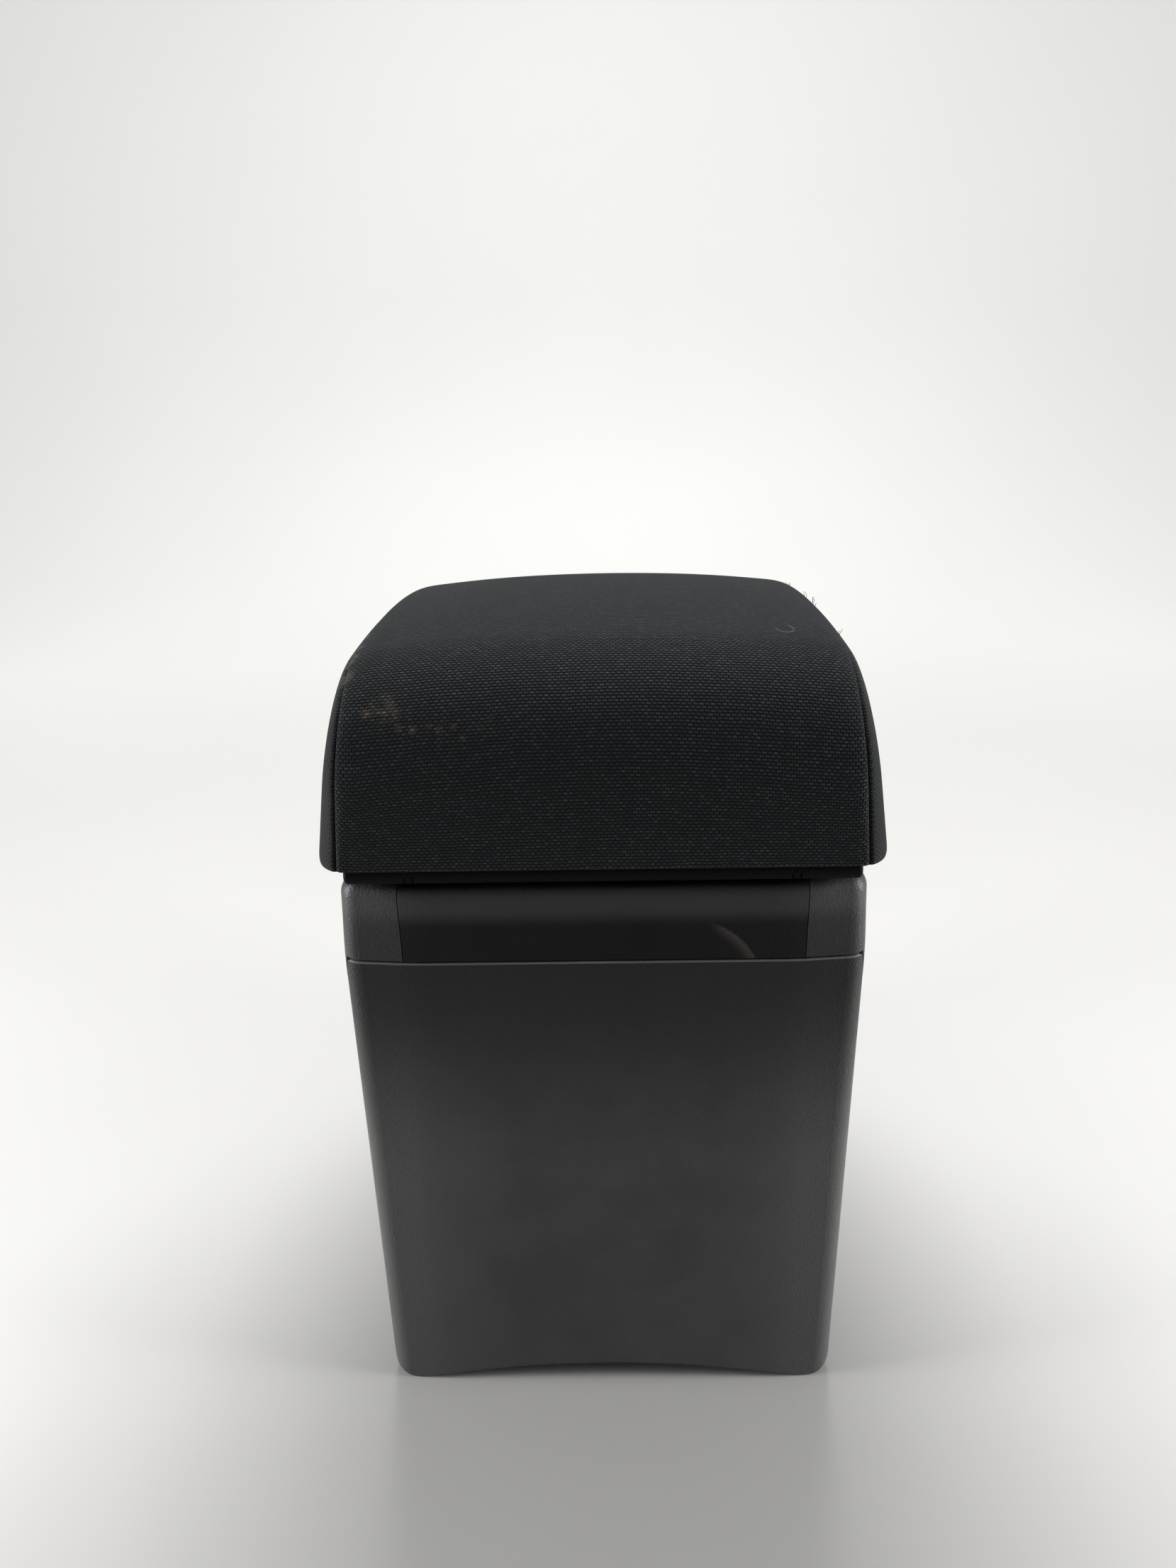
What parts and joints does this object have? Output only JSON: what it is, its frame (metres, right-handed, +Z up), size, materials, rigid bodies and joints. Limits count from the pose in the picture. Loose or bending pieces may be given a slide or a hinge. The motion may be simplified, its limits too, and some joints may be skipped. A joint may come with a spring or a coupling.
{
  "type": "car centre armrest",
  "caption": "Floor-standing car centre armrest: a tapered plastic box with a storage bin, under a padded cloth-covered lid that swings up on a rear hinge.",
  "frame": {"origin": "on the floor, below the middle of the lid", "axes": "+Z up, +Y towards the front of the car, +X to the right seen from the rear"},
  "size_m": [0.2, 0.28, 0.314],
  "materials": {
    "box_plastic": "fine moulded grain, charcoal",
    "cover_plastic": "fine moulded grain, charcoal, a little worn",
    "collar_plastic": "fine moulded grain, charcoal, one pale scuff",
    "bin_plastic": "moulded, black",
    "lid_plastic": "moulded, black",
    "carrier_plastic": "moulded, unpainted grey",
    "mat_rubber": "ribbed mat, matt black",
    "stop_rubber": "soft, matt black",
    "plated_steel": "pressed sheet, zinc plated",
    "black_steel": "pressed sheet, black painted",
    "rod_steel": "drawn bar",
    "screw_steel": "zinc plated",
    "spring_steel": "tempered strip",
    "foam": "moulded polyurethane foam",
    "woven_cloth": "coarse black weave, dusty and abraded in places",
    "knit_cloth": "fine smooth black knit"
  },
  "bodies": {
    "console": {"body_shell": "box_plastic", "rear_cover": "cover_plastic", "rear_cover_clips": "spring_steel", "hinge_cover": "collar_plastic", "hinge_bracket": "black_steel", "hinge_screws": "screw_steel", "hinge_rod": "rod_steel", "storage_bin": "bin_plastic", "bin_mat": "mat_rubber", "bin_screws": "screw_steel", "bump_stops": "stop_rubber", "catch_spring": "spring_steel", "catch_screws": "screw_steel", "floor_bracket_front": "plated_steel", "floor_bracket_rear": "plated_steel", "bracket_screws": "screw_steel"},
    "lid": {"lid_base": "lid_plastic", "lid_carrier": "carrier_plastic", "lid_screws": "screw_steel", "foam_pad": "foam", "cover_top_panel": "woven_cloth", "cover_side_left": "knit_cloth", "cover_side_right": "knit_cloth"}
  },
  "joints": [
    {"name": "lid_hinge", "type": "hinge", "parent": "console", "child": "lid", "pos_m": [0, -0.131, 0.234], "axis": [1, 0, 0], "range_deg": [0, 92], "deforming": ["catch_spring"]}
  ]
}
